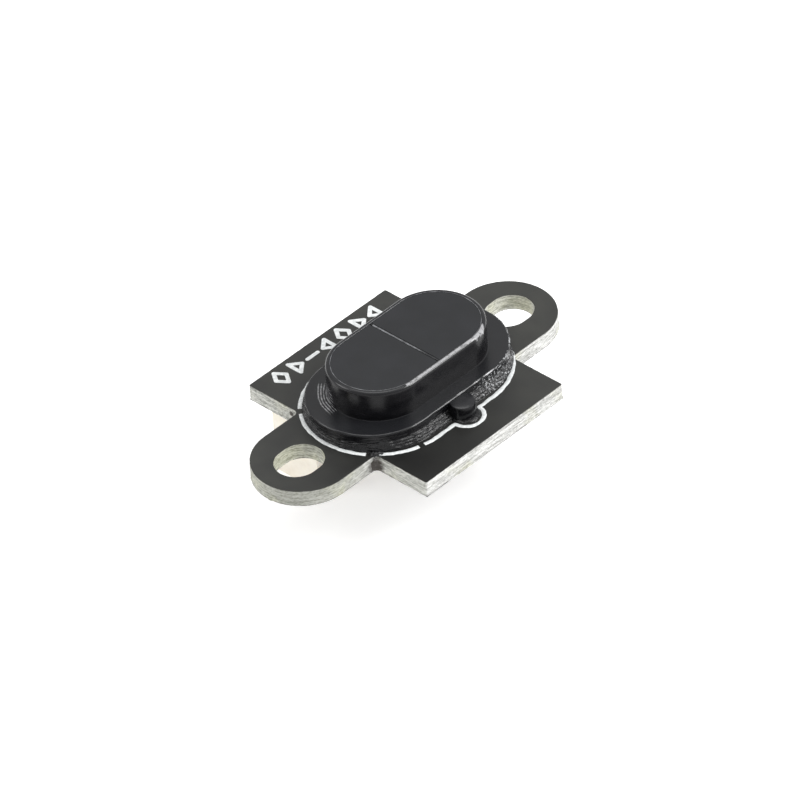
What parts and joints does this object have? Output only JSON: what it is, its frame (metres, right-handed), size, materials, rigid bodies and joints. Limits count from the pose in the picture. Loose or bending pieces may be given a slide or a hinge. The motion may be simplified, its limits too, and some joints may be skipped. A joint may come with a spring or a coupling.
{
  "type": "optical distance sensor module",
  "caption": "Optical distance sensor module: slotted-ear circuit board, stepped oval black housing with a split dark window, glue seal and a cable connector on the back.",
  "frame": {"origin": "midway between the two slotted mounting holes, on the front face of the circuit board", "axes": "+X along the line of the mounting slots towards the ear on the receiver side, +Y towards the board edge that carries the connector, +Z out of the front face, the sensing direction"},
  "size_m": [0.022, 0.0132, 0.0089],
  "materials": {
    "laminate": "glass-fibre epoxy laminate, routed edge with visible fibre layers",
    "solder_mask": "matt black epoxy solder mask",
    "white_ink": "white printed epoxy ink",
    "gold_plate": "thin gold plate over copper lands",
    "black_moulding": "black moulded plastic, semi-gloss, smeared with glue",
    "dark_filter": "smooth dark infrared filter plate, satin",
    "bond": "cured clear-grey bond",
    "black_glue": "glossy cured black adhesive, rough beaded surface",
    "foam": "black closed-cell foam",
    "chip_laminate": "green thin laminate",
    "package_black": "black moulding compound, fine matt",
    "silicon": "polished silicon",
    "solder": "bright reflowed solder",
    "tinned_metal": "matt tin plate",
    "cream_nylon": "natural cream nylon, satin",
    "capacitor_ceramic": "fired tan ceramic",
    "alumina": "white fired alumina",
    "resistor_glaze": "black protective glaze",
    "ferrite": "dark grey fired ferrite"
  },
  "bodies": {
    "root": {"circuit_board": "laminate", "solder_mask_front": "solder_mask", "solder_mask_back": "solder_mask", "silkscreen_front": "white_ink", "silkscreen_back": "white_ink", "front_copper_pads": "gold_plate", "back_copper_pads": "gold_plate", "optical_housing": "black_moulding", "emitter_window": "dark_filter", "receiver_window": "dark_filter", "window_adhesive": "bond", "sealing_glue": "black_glue", "light_gasket": "foam", "sensor_substrate": "chip_laminate", "sensor_cap": "package_black", "emitter_die": "silicon", "receiver_die": "silicon", "sensor_solder": "solder", "connector_housing": "cream_nylon", "connector_contacts": "tinned_metal", "connector_tabs": "tinned_metal", "connector_solder": "solder", "controller_body": "package_black", "controller_leads": "tinned_metal", "regulator_body": "package_black", "regulator_leads": "tinned_metal", "level_shifter_body": "package_black", "level_shifter_leads": "tinned_metal", "capacitor_bodies": "capacitor_ceramic", "capacitor_ends": "tinned_metal", "resistor_bodies": "alumina", "resistor_coats": "resistor_glaze", "resistor_ends": "tinned_metal", "ferrite_body": "ferrite", "ferrite_ends": "tinned_metal", "chip_solder": "solder"}
  },
  "joints": []
}
